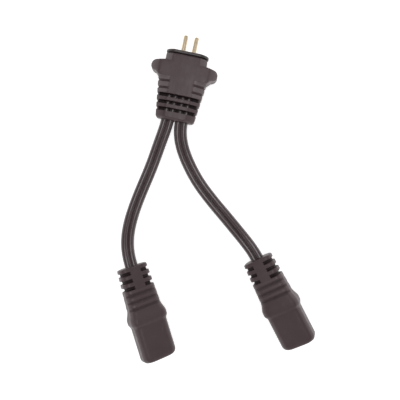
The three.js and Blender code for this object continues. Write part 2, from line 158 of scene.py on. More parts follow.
def make_piece(
    name: str,
    rings: Array,
    ends: Array,
    finish: bpy.types.Material,
    painted_light: Array | None = None,
    crease: float | None = None,
) -> bpy.types.Object:
    """Puts one closed skin over rings into the scene, facing outwards and smooth-shaded.

    The signed volume is a sixth of the sum over triangles of a . (b x c); where it comes out
    negative the faces are turned round.

    Args:
        name: The piece's name.
        rings: Points of the rings in mm, rings by columns by three.
        ends: The middle points of the first and the last ring, in mm.
        finish: The piece's material.
        painted_light: How deep in a gap each vertex lies, 0 to 1, painted as shade, and below 0
        a painted highlight where the surface stands out; read by the finishes.
        crease: Edges sharper than this many degrees stay sharp; None keeps all smooth.

    Returns:
        The new object, at the origin and riding on the root body.
    """
    points = np.concatenate([rings.reshape(-1, 3), ends])
    quads, triangles = skin_faces(*rings.shape[:2])
    halves = np.concatenate([quads[:, [0, 1, 2]], quads[:, [0, 2, 3]], triangles])
    a, b, c = (points[halves[:, i]] for i in range(3))
    if float(np.einsum("ij,ij->", a, np.cross(b, c))) < 0:
        quads = quads[:, ::-1]
        triangles = triangles[:, ::-1]
    mesh = bpy.data.meshes.new(name)
    mesh.from_pydata((points * MM).tolist(), [], quads.tolist() + triangles.tolist())
    mesh.polygons.foreach_set("use_smooth", np.ones(len(mesh.polygons), dtype=bool))
    if crease is not None:
        mesh.set_sharp_from_angle(angle=math.radians(crease))
    # Per-vertex painted shade and painted highlight, read by the finishes.
    layer = mesh.attributes.new("painted_light", "FLOAT", "POINT")
    layer.data.foreach_set("value", np.zeros(len(points)) if painted_light is None else painted_light.ravel())
    mesh.materials.append(finish)
    mesh.update()
    piece = bpy.data.objects.new(name, mesh)
    bpy.context.scene.collection.objects.link(piece)
    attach(piece, "root")
    return piece


def spline_through(points: Array, count: int) -> Array:
    """Natural cubic spline through points, at equal steps of chord length.

    Between knots i and i+1, with h their distance and M the second derivatives, the curve is
    the cubic that meets both points and both Ms; M solves the usual three-term equations, with
    M = 0 at both ends.

    Args:
        points: The points to pass, one row each.
        count: How many points to return.

    Returns:
        Points along the curve.
    """
    knots = np.concatenate([[0.0], np.cumsum(np.linalg.norm(np.diff(points, axis=0), axis=1))])
    h = np.diff(knots)
    size = len(points)
    system = np.eye(size)
    inner = np.arange(1, size - 1)
    system[inner, inner - 1] = h[:-1]
    system[inner, inner] = 2.0 * (h[:-1] + h[1:])
    system[inner, inner + 1] = h[1:]
    slope = np.diff(points, axis=0) / h[:, None]
    right = np.zeros_like(points)
    right[1:-1] = 6.0 * np.diff(slope, axis=0)
    bend = np.linalg.solve(system, right)
    at = np.linspace(0.0, knots[-1], count)
    i = np.clip(np.searchsorted(knots, at, side="right") - 1, 0, size - 2)
    step = h[i][:, None]
    ahead = knots[i + 1][:, None] - at[:, None]
    behind = at[:, None] - knots[i][:, None]
    return (
        bend[i] * ahead**3 / (6.0 * step)
        + bend[i + 1] * behind**3 / (6.0 * step)
        + (points[i] / step - bend[i] * step / 6.0) * ahead
        + (points[i + 1] / step - bend[i + 1] * step / 6.0) * behind
    )


# Finishes


@dataclass(frozen=True)
class Pattern:
    """A cloudy pattern.

    Attributes:
        scale: Waves to the metre, roughly.
        detail: How many finer layers it has.
        stretch: Factors along the three axes before the pattern is read.
    """

    scale: float
    detail: float
    stretch: tuple[float, float, float] = (1.0, 1.0, 1.0)


@dataclass(frozen=True)
class Band:
    """What a value is mapped onto, clamped: low at start and high at end."""

    low: float
    high: float
    start: float = 0.0
    end: float = 1.0


class Bench:
    """Adds shader nodes to one new material, and joins them up."""

    def __init__(self, name: str) -> None:
        """Starts the material with only its output and one principled shader.

        Args:
            name: The material's name.
        """
        self.material = bpy.data.materials.new(name)
        self.material.use_nodes = True
        self.tree = self.material.node_tree
        self.shader = self.tree.nodes["Principled BSDF"]
        self.place = self.add("ShaderNodeTexCoord").outputs["Object"]

    def add(self, kind: str, **settings: object) -> bpy.types.Node:
        """Adds one node and sets its properties.

        Args:
            kind: Blender's name for the node.
            **settings: Properties of the node.

        Returns:
            The node.
        """
        node = self.tree.nodes.new(kind)
        for key, value in settings.items():
            setattr(node, key, value)
        return node

    def join(self, source: object, target: object) -> None:
        """Feeds a socket from another socket, or sets it to a plain value.

        Args:
            source: An output socket or a value.
            target: The input socket.
        """
        if isinstance(source, bpy.types.NodeSocket):
            self.tree.links.new(source, target)
        else:
            target.default_value = source

    def give(self, name: str, source: object) -> None:
        """Feeds one of the shader's own inputs.

        Args:
            name: The input's name.
            source: An output socket or a value.
        """
        self.join(source, self.shader.inputs[name])

    def noise(self, pattern: Pattern,
              source: bpy.types.NodeSocket | None = None) -> bpy.types.NodeSocket:
        """Adds a cloudy pattern in the piece's own space.

        Args:
            pattern: Its size, detail and stretch.
            source: Coordinates to use in place of the object's own.

        Returns:
            The pattern, 0 to 1.
        """
        mapping = self.add("ShaderNodeMapping")
        self.join(source or self.place, mapping.inputs["Vector"])
        self.join(pattern.stretch, mapping.inputs["Scale"])
        node = self.add("ShaderNodeTexNoise")
        self.join(mapping.outputs["Vector"], node.inputs["Vector"])
        self.join(pattern.scale, node.inputs["Scale"])
        self.join(pattern.detail, node.inputs["Detail"])
        return node.outputs["Fac"]

    def span(self, value: bpy.types.NodeSocket, band: Band) -> bpy.types.NodeSocket:
        """Maps a value onto a band.

        Args:
            value: The input.
            band: What it is mapped onto.

        Returns:
            The mapped value.
        """
        node = self.add("ShaderNodeMapRange")
        self.join(band.start, node.inputs["From Min"])
        self.join(band.end, node.inputs["From Max"])
        self.join(band.low, node.inputs["To Min"])
        self.join(band.high, node.inputs["To Max"])
        self.join(value, node.inputs["Value"])
        return node.outputs["Result"]

    def blend(self, share: bpy.types.NodeSocket, first: object, second: object) -> bpy.types.NodeSocket:
        """Colour between two colours.

        Args:
            share: 0 gives the first, 1 the second.
            first: A colour or a socket.
            second: A colour or a socket.

        Returns:
            The mixed colour.
        """
        node = self.add("ShaderNodeMix", data_type="RGBA")
        self.join(share, node.inputs[0])
        self.join(first, node.inputs[6])
        self.join(second, node.inputs[7])
        return node.outputs[2]

    def total(self, first: bpy.types.NodeSocket, second: object,
              operation: str = "ADD") -> bpy.types.NodeSocket:
        """Arithmetic on two values.

        Args:
            first: A socket.
            second: A socket or a number.
            operation: Blender's name for the operation.

        Returns:
            The result.
        """
        node = self.add("ShaderNodeMath", operation=operation)
        self.join(first, node.inputs[0])
        self.join(second, node.inputs[1])
        return node.outputs[0]

    def relief(self, height: bpy.types.NodeSocket, depth: float, strength: float) -> None:
        """Raises the surface's shading by a height pattern.

        Args:
            height: The pattern.
            depth: Its height in metres.
            strength: How much of it shows.
        """
        node = self.add("ShaderNodeBump")
        self.join(height, node.inputs["Height"])
        self.join(depth, node.inputs["Distance"])
        self.join(strength, node.inputs["Strength"])
        self.give("Normal", node.outputs["Normal"])

    def painted_light(self) -> bpy.types.NodeSocket:
        """Painted shade deep in slots and grooves, 0 to 1, or painted highlight, 0 to -1."""
        return self.add("ShaderNodeAttribute", attribute_name="painted_light").outputs["Fac"]


Colour = tuple[float, float, float, float]


@dataclass(frozen=True)
class MouldedVinyl:
    """Soft black overmould, satin and faintly warm with a fine eroded grain; painted shade and
    highlights.
    """

    name: str = "moulded_vinyl"
    body: Colour = (0.050, 0.026, 0.029, 1.0)
    bloom: Colour = (0.068, 0.041, 0.044, 1.0)
    # The shade colour is painted shade for slots, gaps, grooves and the mouth; the next colour is a
    # paler painted highlight.
    shade: Colour = (0.018, 0.008, 0.010, 1.0)
    painted_highlight: Colour = (0.122, 0.095, 0.098, 1.0)
    tone: Band = Band(0.0, 0.6, 0.35, 0.7)
    wear: Band = Band(0.0, 0.5, 0.62, 0.72)
    # Shares of painted highlight below 0 and of painted shade above 0, read from the per-vertex value.
    painted_highlight_band: Band = Band(1.0, 0.0, -1.0, 0.0)
    painted_shade_share: Band = Band(0.0, 1.0)
    roughness: Band = Band(0.40, 0.52, 0.3, 0.7)
    dull_in_gaps: Band = Band(0.0, 0.35)
    scuff_height: float = 0.6
    cloud: Pattern = Pattern(90.0, 4.0)
    grain: Pattern = Pattern(5200.0, 2.0)
    scuff: Pattern = Pattern(700.0, 6.0, (1.0, 0.35, 1.0))
    relief: tuple[float, float] = (0.00003, 0.35)

    def material(self) -> bpy.types.Material:
        """Builds the node material.

        Returns:
            The material.
        """
        bench = Bench(self.name)
        scuff = bench.noise(self.scuff)
        tone = bench.span(bench.noise(self.cloud), self.tone)
        colour = bench.blend(bench.total(tone, bench.span(scuff, self.wear)), self.body, self.bloom)
        painted_light = bench.painted_light()
        # Painted highlight: the paler colour where the per-vertex value is below 0.
        colour = bench.blend(bench.span(painted_light, self.painted_highlight_band), colour, self.painted_highlight)
        # Painted shade: the shade colour where the per-vertex value is above 0.
        painted_shade_share = bench.span(painted_light, self.painted_shade_share)
        bench.give("Base Color", bench.blend(painted_shade_share, colour, self.shade))
        matt = bench.span(scuff, self.roughness)
        bench.give("Roughness", bench.total(matt, bench.span(painted_shade_share, self.dull_in_gaps)))
        coarse = bench.total(scuff, self.scuff_height, "MULTIPLY")
        height = bench.total(coarse, bench.noise(self.grain))
        bench.relief(height, *self.relief)
        return bench.material


@dataclass(frozen=True)
class CordJacket:
    """Smoother vinyl of the flat cable, with faint drawing lines along it."""

    name: str = "cord_jacket"
    body: Colour = (0.034, 0.014, 0.017, 1.0)
    bloom: Colour = (0.050, 0.028, 0.032, 1.0)
    tone: Band = Band(0.0, 0.7, 0.35, 0.7)
    roughness: Band = Band(0.24, 0.32, 0.3, 0.7)
    grain_height: float = 0.35
    shine: float = 0.12
    skin: tuple[float, float, float] = (1.0, 0.3, 1.62)
    lines: Pattern = Pattern(1.0, 3.0, (3.0, 90.0, 1.0))
    cloud: Pattern = Pattern(160.0, 4.0)
    grain: Pattern = Pattern(3800.0, 2.0)
    relief: tuple[float, float] = (0.00003, 0.2)

    def material(self) -> bpy.types.Material:
        """Builds the node material; the lines follow the piece's own UV map.

        The skin is a thin glossy layer, given by its weight, roughness and refraction.

        Returns:
            The material.
        """
        bench = Bench(self.name)
        along = bench.add("ShaderNodeUVMap", uv_map="UVMap").outputs["UV"]
        lines = bench.noise(self.lines, along)
        tone = bench.span(bench.noise(self.cloud), self.tone)
        bench.give("Base Color", bench.blend(tone, self.body, self.bloom))
        bench.give("Roughness", bench.span(lines, self.roughness))
        bench.give("Specular IOR Level", self.shine)
        for name, value in zip(("Coat Weight", "Coat Roughness", "Coat IOR"), self.skin):
            bench.give(name, value)
        fine = bench.total(bench.noise(self.grain), self.grain_height, "MULTIPLY")
        bench.relief(bench.total(fine, lines), *self.relief)
        return bench.material


@dataclass(frozen=True)
class HardInsert:
    """Hard black moulding that holds the metal parts."""

    name: str = "hard_insert"
    body: Colour = (0.030, 0.024, 0.022, 1.0)
    bloom: Colour = (0.055, 0.046, 0.042, 1.0)
    tone: Band = Band(0.0, 0.8, 0.3, 0.7)
    roughness: Band = Band(0.3, 0.45, 0.3, 0.7)
    flow: Pattern = Pattern(350.0, 5.0, (1.0, 0.3, 1.0))
    grain: Pattern = Pattern(6000.0, 2.0)
    relief: tuple[float, float] = (0.00002, 0.25)

    def material(self) -> bpy.types.Material:
        """Builds the node material.

        Returns:
            The material.
        """
        bench = Bench(self.name)
        flow = bench.noise(self.flow)
        bench.give("Base Color", bench.blend(bench.span(flow, self.tone), self.body, self.bloom))
        bench.give("Roughness", bench.span(flow, self.roughness))
        bench.relief(bench.noise(self.grain), *self.relief)
        return bench.material


@dataclass(frozen=True)
class TurnedMetal:
    """Turned metal with fine rings across its length and a light tarnish."""

    name: str
    bright: Colour
    tarnished: Colour
    roughness: Band
    tone: Band = Band(0.0, 0.8, 0.45, 0.75)
    rings: Pattern = Pattern(1.0, 2.0, (150.0, 9000.0, 150.0))
    stain: Pattern = Pattern(420.0, 5.0)
    relief: tuple[float, float] = (0.00001, 0.3)

    def material(self) -> bpy.types.Material:
        """Builds the node material.

        Returns:
            The material.
        """
        bench = Bench(self.name)
        bench.give("Metallic", 1.0)
        stain = bench.noise(self.stain)
        tone = bench.span(stain, self.tone)
        bench.give("Base Color", bench.blend(tone, self.bright, self.tarnished))
        bench.give("Roughness", bench.span(stain, self.roughness))
        bench.relief(bench.noise(self.rings), *self.relief)
        return bench.material


@dataclass(frozen=True)
class PaleFloor:
    """White light table: pale, matt and faintly lit from below."""

    name: str = "pale_floor"
    body: Colour = (0.86, 0.86, 0.86, 1.0)
    roughness: float = 0.9
    glow: float = 0.6
    glow_colour: Colour = (1.0, 1.0, 1.0, 1.0)

    def material(self) -> bpy.types.Material:
        """Builds the node material.

        Returns:
            The material.
        """
        bench = Bench(self.name)
        bench.give("Base Color", self.body)
        bench.give("Roughness", self.roughness)
        bench.give("Specular IOR Level", 0.0)
        bench.give("Emission Color", self.glow_colour)
        bench.give("Emission Strength", self.glow)
        return bench.material


PLATED_BRASS = TurnedMetal(
    "plated_brass",
    bright=(0.68, 0.57, 0.41, 1.0),
    tarnished=(0.56, 0.44, 0.30, 1.0),
    roughness=Band(0.3, 0.42, 0.35, 0.7),
)
BARE_COPPER = TurnedMetal(
    "bare_copper",
    bright=(0.80, 0.42, 0.26, 1.0),
    tarnished=(0.45, 0.2, 0.11, 1.0),
    roughness=Band(0.25, 0.4, 0.35, 0.7),
)


class Finish(Enum):
    """The finishes, by the record's slot that each one stands for."""

    SLEEVE = "sleeve"
    INSERT = "insert"
    JACKET = "jacket"
    BRASS = "brass"
    COPPER = "copper"

    def recipe(self) -> MouldedVinyl | CordJacket | HardInsert | TurnedMetal:
        """The dataclass that builds this finish."""
        recipes = {
            Finish.SLEEVE: MouldedVinyl(),
            Finish.INSERT: HardInsert(),
            Finish.JACKET: CordJacket(),
            Finish.BRASS: PLATED_BRASS,
            Finish.COPPER: BARE_COPPER,
        }
        return recipes[self]


class Palette:
    """Holds one material for each finish, made when it is first asked for."""

    def __init__(self) -> None:
        """Starts empty."""
        self.made: dict[Finish, bpy.types.Material] = {}

    def get(self, finish: Finish) -> bpy.types.Material:
        """The material of a finish."""
        if finish not in self.made:
            self.made[finish] = finish.recipe().material()
        return self.made[finish]


# Mouldings


@dataclass
class Rows:
    """Rounded-rectangle sections down a moulding, one value a row, in mm.

    Attributes:
        depth: How far back from the mating face the row lies.
        half_width: Half the section's width.
        half_height: Half its height.
        facet_width: How far each corner facet reaches in from the side.
        facet_height: How far it reaches down from the top.
        outer: True on the outside of the moulding, False inside its mouth.
    """

    depth: Array
    half_width: Array
    half_height: Array
    facet_width: Array
    facet_height: Array
    outer: Array

    def then(self, other: Rows) -> Rows:
        """These rows followed by the others."""
        return Rows(*(np.concatenate([getattr(self, part.name), getattr(other, part.name)])
                      for part in fields(Rows)))


@dataclass(frozen=True)
class Mouth:
    """Hollow behind a mating face: a flared lip, a pocket and a narrower chamber behind it.

    Attributes:
        pocket: Half width, half height and depth of the pocket, in mm.
        chamber: The same of the chamber.
        corner: Size of the corners.
        lip: How far behind the front the flare ends, and how far a row lies that divides it.
        flare: How much wider the lip is at that row and at the front, to either side.
        ledge: Depth over which the pocket narrows to the chamber.
    """

    pocket: tuple[float, float, float]
    chamber: tuple[float, float, float]
    corner: float
    lip: tuple[float, float]
    flare: tuple[float, float]
    ledge: float = 0.01

    def rows(self, front: float) -> Rows:
        """Rows from the chamber's bottom out to the front.

        Args:
            front: Depth of the moulding's front.

        Returns:
            The sections, none of them outer.
        """
        deep = [self.chamber[2], self.pocket[2] + self.ledge, self.pocket[2]]
        depth = np.array(deep + [front + self.lip[0], front + self.lip[1], front])
        wider = np.array([0.0, 0.0, *self.flare])
        half_width, half_height = (
            np.concatenate([[self.chamber[i]] * 2, self.pocket[i] + wider]) for i in range(2))
        facet = np.full(len(depth), self.corner)
        return Rows(depth, half_width, half_height, facet, facet, np.zeros(len(depth), dtype=bool))


@dataclass
class Quarter:
    """One quarter of each section, from the middle of the top to the middle of the side.

    Attributes:
        x: Across, rows by columns.
        z: Up, rows by columns.
        marks: Column at which each wanted distance across lies; the next column is just past it.
    """

    x: Array
    z: Array
    marks: list[int]

    @staticmethod
    def of(rows: Rows, distances: list[Array], counts: tuple[int, ...], flatness: float,
           crown: float) -> Quarter:
        """Spreads columns over the quarter so that some of them keep a given distance across.

        The top is level to where the corner facet starts, the side is upright below it. Along a
        corner, with q from 0 to 1, the outline is a blend of an ellipse (sine and cosine of a
        quarter turn times q) and the straight chord, by the flatness. The top then sinks by the
        crown times the square of the distance across over the half width. A kept distance has
        two columns, a wall's thickness apart, so that a slot's end can stand upright between them.

        Args:
            rows: The sections.
            distances: Distances across that columns keep, in growing order, one value a row.
            counts: Columns up to each of them, and then on to the side.
            flatness: 0 for round corners, 1 for flat facets.
            crown: How far the top sinks at the side, in mm.

        Returns:
            The quarter.
        """
        level = rows.half_width - rows.facet_width
        upright = rows.half_height - rows.facet_height
        arc_over_chord = 1.05
        corner = arc_over_chord * np.hypot(rows.facet_width, rows.facet_height)
        q = np.linspace(0.0, 1.0, 129)
        reach = (1.0 - flatness) * np.sin(q * np.pi / 2.0) + flatness * q
        stops = [np.zeros_like(level)]
        steps: list[int] = []
        for distance, count in zip(distances, counts):
            for shift, number in ((-HALF_WALL, count), (HALF_WALL, 1)):
                x = distance + shift
                past = np.interp((x - level) / rows.facet_width, reach, q) * corner
                stops.append(np.where(x <= level, x, level + past))
                steps.append(number)
        stops.append(level + corner + upright)
        steps.append(counts[-1])
        spread = [
            start[:, None] + (end - start)[:, None] * np.arange(number)[None, :] / number
            for start, end, number in zip(stops, stops[1:], steps)
        ]
        s = np.concatenate(spread + [stops[-1][:, None]], axis=1)
        marks = [int(m) - 1 for m in np.cumsum(steps)[1::2][: len(distances)]]
        t = np.clip((s - level[:, None]) / corner[:, None], 0.0, 1.0)
        bent_x = (1.0 - flatness) * np.sin(t * np.pi / 2.0) + flatness * t
        bent_z = (1.0 - flatness) * np.cos(t * np.pi / 2.0) + flatness * (1.0 - t)
        x = np.minimum(s, level[:, None]) + rows.facet_width[:, None] * bent_x
        below = np.clip(s - (level + corner)[:, None], 0.0, None)
        z = upright[:, None] + rows.facet_height[:, None] * bent_z - below
        share = np.clip(z / rows.half_height[:, None], 0.0, 1.0)
        sunk = crown * (x / rows.half_width[:, None]) ** 2 * share
        return Quarter(x, z - sunk * rows.outer[:, None], marks)

    def press_in(self, depth: Array) -> None:
        """Moves the outline inwards along its own normal.

        Args:
            depth: How far, rows by columns.
        """
        dx, dz = np.gradient(self.x, axis=1), np.gradient(self.z, axis=1)
        length = np.hypot(dx, dz) + 1e-9
        self.x = self.x + depth * dz / length
        self.z = self.z - depth * dx / length
        self.x[:, 0] = 0.0
        self.z[:, -1] = 0.0

    def morph(self, share: Array, x: Array, z: Array) -> None:
        """Blends the outline towards another.

        Args:
            share: 0 keeps the outline, 1 takes the other; rows by columns.
            x: The other's distances across, that broadcast to rows by columns.
            z: The other's heights.
        """
        self.x = self.x * (1.0 - share) + x * share
        self.z = self.z * (1.0 - share) + z * share

    def rings(self, depth: Array) -> Array:
        """Mirrors the quarter into whole rings.

        Args:
            depth: The depth of each row.

        Returns:
            Points, rows by columns by three.
        """
        x, z = self.x, self.z
        across = np.concatenate([x, x[:, -2::-1], -x[:, 1:], -x[:, -2:0:-1]], axis=1)
        up = np.concatenate([z, -z[:, -2::-1], -z[:, 1:], z[:, -2:0:-1]], axis=1)
        return np.stack([across, np.broadcast_to(-depth[:, None], across.shape), up], axis=-1)

    @staticmethod
    def around(values: Array) -> Array:
        """Mirrors values of a quarter in the same way as its points."""
        return np.concatenate([values, values[:, -2::-1], values[:, 1:], values[:, -2:0:-1]], axis=1)


@dataclass
class Placement:
    """Where a connector lies: its local +Y is its mating direction.

    Attributes:
        origin: The middle of its mating face, in mm.
        heading: Level unit vector along its mating direction.
        roll: Its turn about that direction, in degrees.
    """

    origin: Array = field(default_factory=lambda: np.zeros(3))
    heading: Array = field(default_factory=lambda: np.array([0.0, 1.0, 0.0]))
    roll: float = 0.0

    def place(self, points: Array) -> Array:
        """Takes local points to the object's frame.

        Args:
            points: Local points, the last axis of three.

        Returns:
            The points in place.
        """
        turn = math.radians(self.roll)
        level = np.array([self.heading[1], -self.heading[0], 0.0])
        up = np.array([0.0, 0.0, 1.0])
        across = math.cos(turn) * level - math.sin(turn) * up
        raised = math.sin(turn) * level + math.cos(turn) * up
        return self.origin + points @ np.stack([across, self.heading, raised])


def build_moulding(name: str, quarter: Quarter, rows: Rows, painted_light: Array, placement: Placement,
                   finish: bpy.types.Material) -> bpy.types.Object:
    """Closed skin over a moulding's rows, from the bottom of its mouth round to its rear face.

    Args:
        name: The piece's name.
        quarter: A quarter of each section.
        rows: The sections.
        painted_light: Painted shade by how deep in a gap each point of the quarter lies, and painted
        highlight below 0; rows by columns.
        placement: Where the connector lies.
        finish: Its material.

    Returns:
        The piece.
    """
    ends = np.array([[0.0, -rows.depth[0], 0.0], [0.0, -rows.depth[-1], 0.0]])
    # Painted shade: full at the middle of the mouth's bottom, none at the middle of the rear face.
    shades = np.concatenate([Quarter.around(painted_light).ravel(), [1.0, 0.0]])
    rings = quarter.rings(rows.depth)
    return make_piece(name, placement.place(rings), placement.place(ends), finish, shades)


# Plug


@dataclass
class PlugBody:
    """The plug's moulding: neck, finger wings and slotted boot.

    Attributes are in mm, and repeat the part's own sizes. A facet is a corner's width and height.
    The paler marks on the neck, the wings, the bars and the boot are painted highlights: each gives
    how strong it is and the distance over which it comes in, but the boot's gives how strong the
    painted highlight on its bars is behind the first slot and at the rear face, and it fades between
    two distances in front of that slot. The groove shade is painted shade. Inside the mouth the
    columns that mark the slots' ends are drawn in by their own share.
    """

    start: float = 1.6
    neck_half_width: float = 9.25
    root_half_width: float = 10.9
    end_half_width: float = 8.6
    half_height: float = 5.0
    end_half_height: float = 4.3
    length: float = 30.8
    front_edge: float = 0.7
    rear_edge: float = 1.2
    row_step: float = 0.3
    root_crease: float = 0.06
    columns: tuple[int, int, int] = (22, 12, 22)
    flatness: float = 0.62
    crown: float = 0.22
    neck_facet: tuple[float, float] = (3.4, 2.4)
    wing_facet: tuple[float, float] = (1.2, 1.0)
    wing_facet_most: float = 4.1
    root_facet: tuple[float, float] = (4.9, 2.2)
    end_facet_width: float = 4.3
    wing_start: float = 5.0
    wing_end: float = 12.2
    wing_half_span: float = 15.0
    wing_corner: float = 2.3
    wing_shoulder: float = 0.6
    wing_sweep: float = 1.7
    panel_half_width: float = 5.4
    least_bar: float = 0.6
    rib_first: float = 14.2
    rib_pitch: float = 3.1
    rib_count: int = 5
    rib_half: float = 0.7
    rib_flank: float = 0.5
    rib_depth: float = 0.5
    slot_first: float = 20.4
    slot_count: int = 3
    slot_half: float = 0.85
    slot_flank: float = 0.2
    slot_margin: float = 0.95
    drawn_in: float = 0.85
    slot_floor: float = 0.95
    # Painted highlights on the neck, wings, bars and boot, and painted shade in the grooves.
    neck_highlight: tuple[float, float] = (0.75, 0.6)
    wing_highlight: tuple[float, float] = (0.5, 0.8)
    bar_highlight: tuple[float, float] = (0.95, 0.3)
    bar_fade: tuple[float, float] = (1.2, 0.8)
    boot_highlight: tuple[float, float] = (0.3, 0.15)
    groove_shade: float = 0.4
    mouth: Mouth = Mouth((6.9, 3.6, 8.5), (6.35, 2.05, 18.1), 1.7, (0.4, 0.1), (0.05, 0.3))

    @property
    def grooves(self) -> Array:
        """Depth of the middle of each groove."""
        return self.rib_first + self.rib_pitch * np.arange(self.rib_count)

    @property
    def slots(self) -> Array:
        """Depth of the middle of each slot."""
        return self.slot_first + self.rib_pitch * np.arange(self.slot_count)

    def plan(self) -> tuple[Array, Array]:
        """Half width against depth: neck, wing and boot, with the wing's corners rounded.

        Returns:
            Depths in growing order, and the half width at each.
        """
        falling, growing = (self.wing_corner * share[1:] for share in rounding(9))
        front = self.wing_start + self.wing_shoulder
        back = self.wing_end - self.wing_sweep
        inside = self.wing_half_span - self.wing_corner
        fillet_lengths, fillet_heights = np.array([0.35, 0.1]), (0.12, 0.2)
        foot = self.neck_half_width + fillet_heights[1]
        rise = np.linspace(0.12, 1.0, 10)
        depth = np.concatenate([
            [self.start],
            self.wing_start - fillet_lengths,
            self.wing_start + rise * self.wing_shoulder,
            front + growing,
            [back - self.wing_corner],
            back - falling,
            np.linspace(back, self.wing_end, 9)[1:],
            np.linspace(self.wing_end, self.length, 30)[1:],
        ])
        width = np.concatenate([
            np.full(2, self.neck_half_width),
            [self.neck_half_width + fillet_heights[0]],
            foot + (inside - foot) * rise,
            self.wing_half_span - falling,
            [self.wing_half_span],
            self.wing_half_span - growing,
            np.linspace(inside, self.root_half_width, 9)[1:],
            np.linspace(self.root_half_width, self.end_half_width, 30)[1:],
        ])
        return depth, width

    def rows(self) -> Rows:
        """Rows over the mouth, the outside and the rounded rear edge.

        Returns:
            The sections.
        """
        depth, width = self.plan()
        first, last = self.start + self.front_edge, self.length - self.rear_edge
        lines = np.unique(np.round(np.concatenate([
            depth,
            self.wing_end + self.root_crease * np.array([-1.0, 0.0, 1.0]),
            np.arange(first, last, self.row_step),
            bump_lines(self.grooves, self.rib_half, self.rib_flank),
            bump_lines(self.slots, self.slot_half, self.slot_flank),
        ]), 3))
        lines = lines[(lines > first) & (lines < last)]
        falling, growing = rounding(9)
        front = self.start + self.front_edge * falling[::-1]
        rear = self.length - self.rear_edge * falling
        at = np.concatenate([front, lines, rear])
        inset = np.concatenate([self.front_edge * growing[::-1], np.zeros(len(lines)),
                                self.rear_edge * growing])
        half_width = np.interp(at, depth, width) - inset
        down = np.clip((at - self.wing_end) / (self.length - self.wing_end), 0.0, 1.0)
        half_height = self.half_height + (self.end_half_height - self.half_height) * down - inset
        least, low = self.wing_facet
        wing = np.clip(half_width - self.root_half_width, least, self.wing_facet_most)
        boot = self.root_facet[0] + (self.end_facet_width - self.root_facet[0]) * down
        neck_width, neck_height = (np.full(len(at), size) for size in self.neck_facet)
        zone = [at <= self.wing_start, at < self.wing_end]
        facet_width = np.select(zone, [neck_width, wing], boot)
        facet_height = np.select(zone, [neck_height, low + (wing - least) / 2.0], self.root_facet[1])
        outer = np.ones(len(at), dtype=bool)
        outside = Rows(at, half_width, half_height, facet_width, facet_height, outer)
        return self.mouth.rows(self.start).then(outside)

    def painted_highlight_strength(self, rows: Rows, quarter: Quarter) -> Array:
        """How strong the painted highlight is: on the neck's and wings' edges, and the bars beside the
        panel.

        The bars are palest in front of the slots, fade quickly there, and then slowly to the rear.

        Args:
            rows: The sections.
            quarter: A quarter of each of them.

        Returns:
            0 to 1, rows by columns.
        """
        depth = rows.depth[:, None]
        on_neck, on_boot = depth < self.wing_start, depth >= self.wing_end
        edge = (rows.half_width - rows.facet_width)[:, None]
        (neck_most, neck_run), (wing_most, wing_run), (bar_most, bar_run) = (
            self.neck_highlight, self.wing_highlight, self.bar_highlight)
        neck = neck_most * smooth_rise((quarter.x - edge) / neck_run) * on_neck
        past_root = quarter.x - self.root_half_width - 2.0 * HALF_WALL
        wing = wing_most * smooth_rise(past_root / wing_run)
        bars = smooth_rise((quarter.x - self.panel_half_width) / bar_run) * on_boot
        fade_start, fade_end = (self.slot_first - distance for distance in self.bar_fade)
        fade = np.interp(depth, [fade_start, fade_end, self.length], [bar_most, *self.boot_highlight])
        return neck + wing * ~(on_neck | on_boot) + bars * fade

    def build(self, palette: Palette) -> bpy.types.Object:
        """Makes the moulding.

        The grooves press the outline in outside the smooth panel; further back they run all the
        way round. The slots bring the top down to their floor between their two ends.

        Args:
            palette: The finishes.

        Returns:
            The piece.
        """
        rows = self.rows()
        share = np.where(rows.outer, 1.0, rows.half_width / self.neck_half_width)
        slot_end = (rows.half_width - self.slot_margin) * np.where(rows.outer, 1.0, self.drawn_in)
        panel = np.minimum(self.panel_half_width * share, slot_end - self.least_bar)
        quarter = Quarter.of(rows, [panel, slot_end], self.columns, self.flatness, self.crown)
        column = np.arange(quarter.x.shape[1])[None, :]
        outer = rows.outer[:, None]
        side = smooth_rise((column - quarter.marks[0] + 1) / 3.0)
        early = self.grooves < self.slots[0] - self.slot_half
        short, whole = (
            bump_along(rows.depth, self.grooves[chosen], self.rib_half, self.rib_flank)[:, None]
            for chosen in (early, ~early))
        groove = np.where(outer, np.maximum(short * side, whole), 0.0)
        quarter.press_in(self.rib_depth * groove)
        slot = bump_along(rows.depth, self.slots, self.slot_half, self.slot_flank)[:, None]
        slot = slot * (column <= quarter.marks[1]) * outer
        quarter.morph(slot, quarter.x, np.full_like(quarter.x, self.slot_floor))
        # Painted highlight on the neck's and wings' edges and on the bars, none in grooves or slots.
        painted_highlight = self.painted_highlight_strength(rows, quarter) * (1.0 - groove) * (1.0 - slot)
        # Painted shade: slots black, grooves darker, the mouth inside fully shaded; painted highlight
        # below 0.
        painted_light = np.where(outer, np.maximum(slot, self.groove_shade * groove) - painted_highlight, 1.0)
        piece = build_moulding("plug_moulding", quarter, rows, painted_light, Placement(),
                               palette.get(Finish.SLEEVE))
        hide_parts("plug_overmould")
        return piece


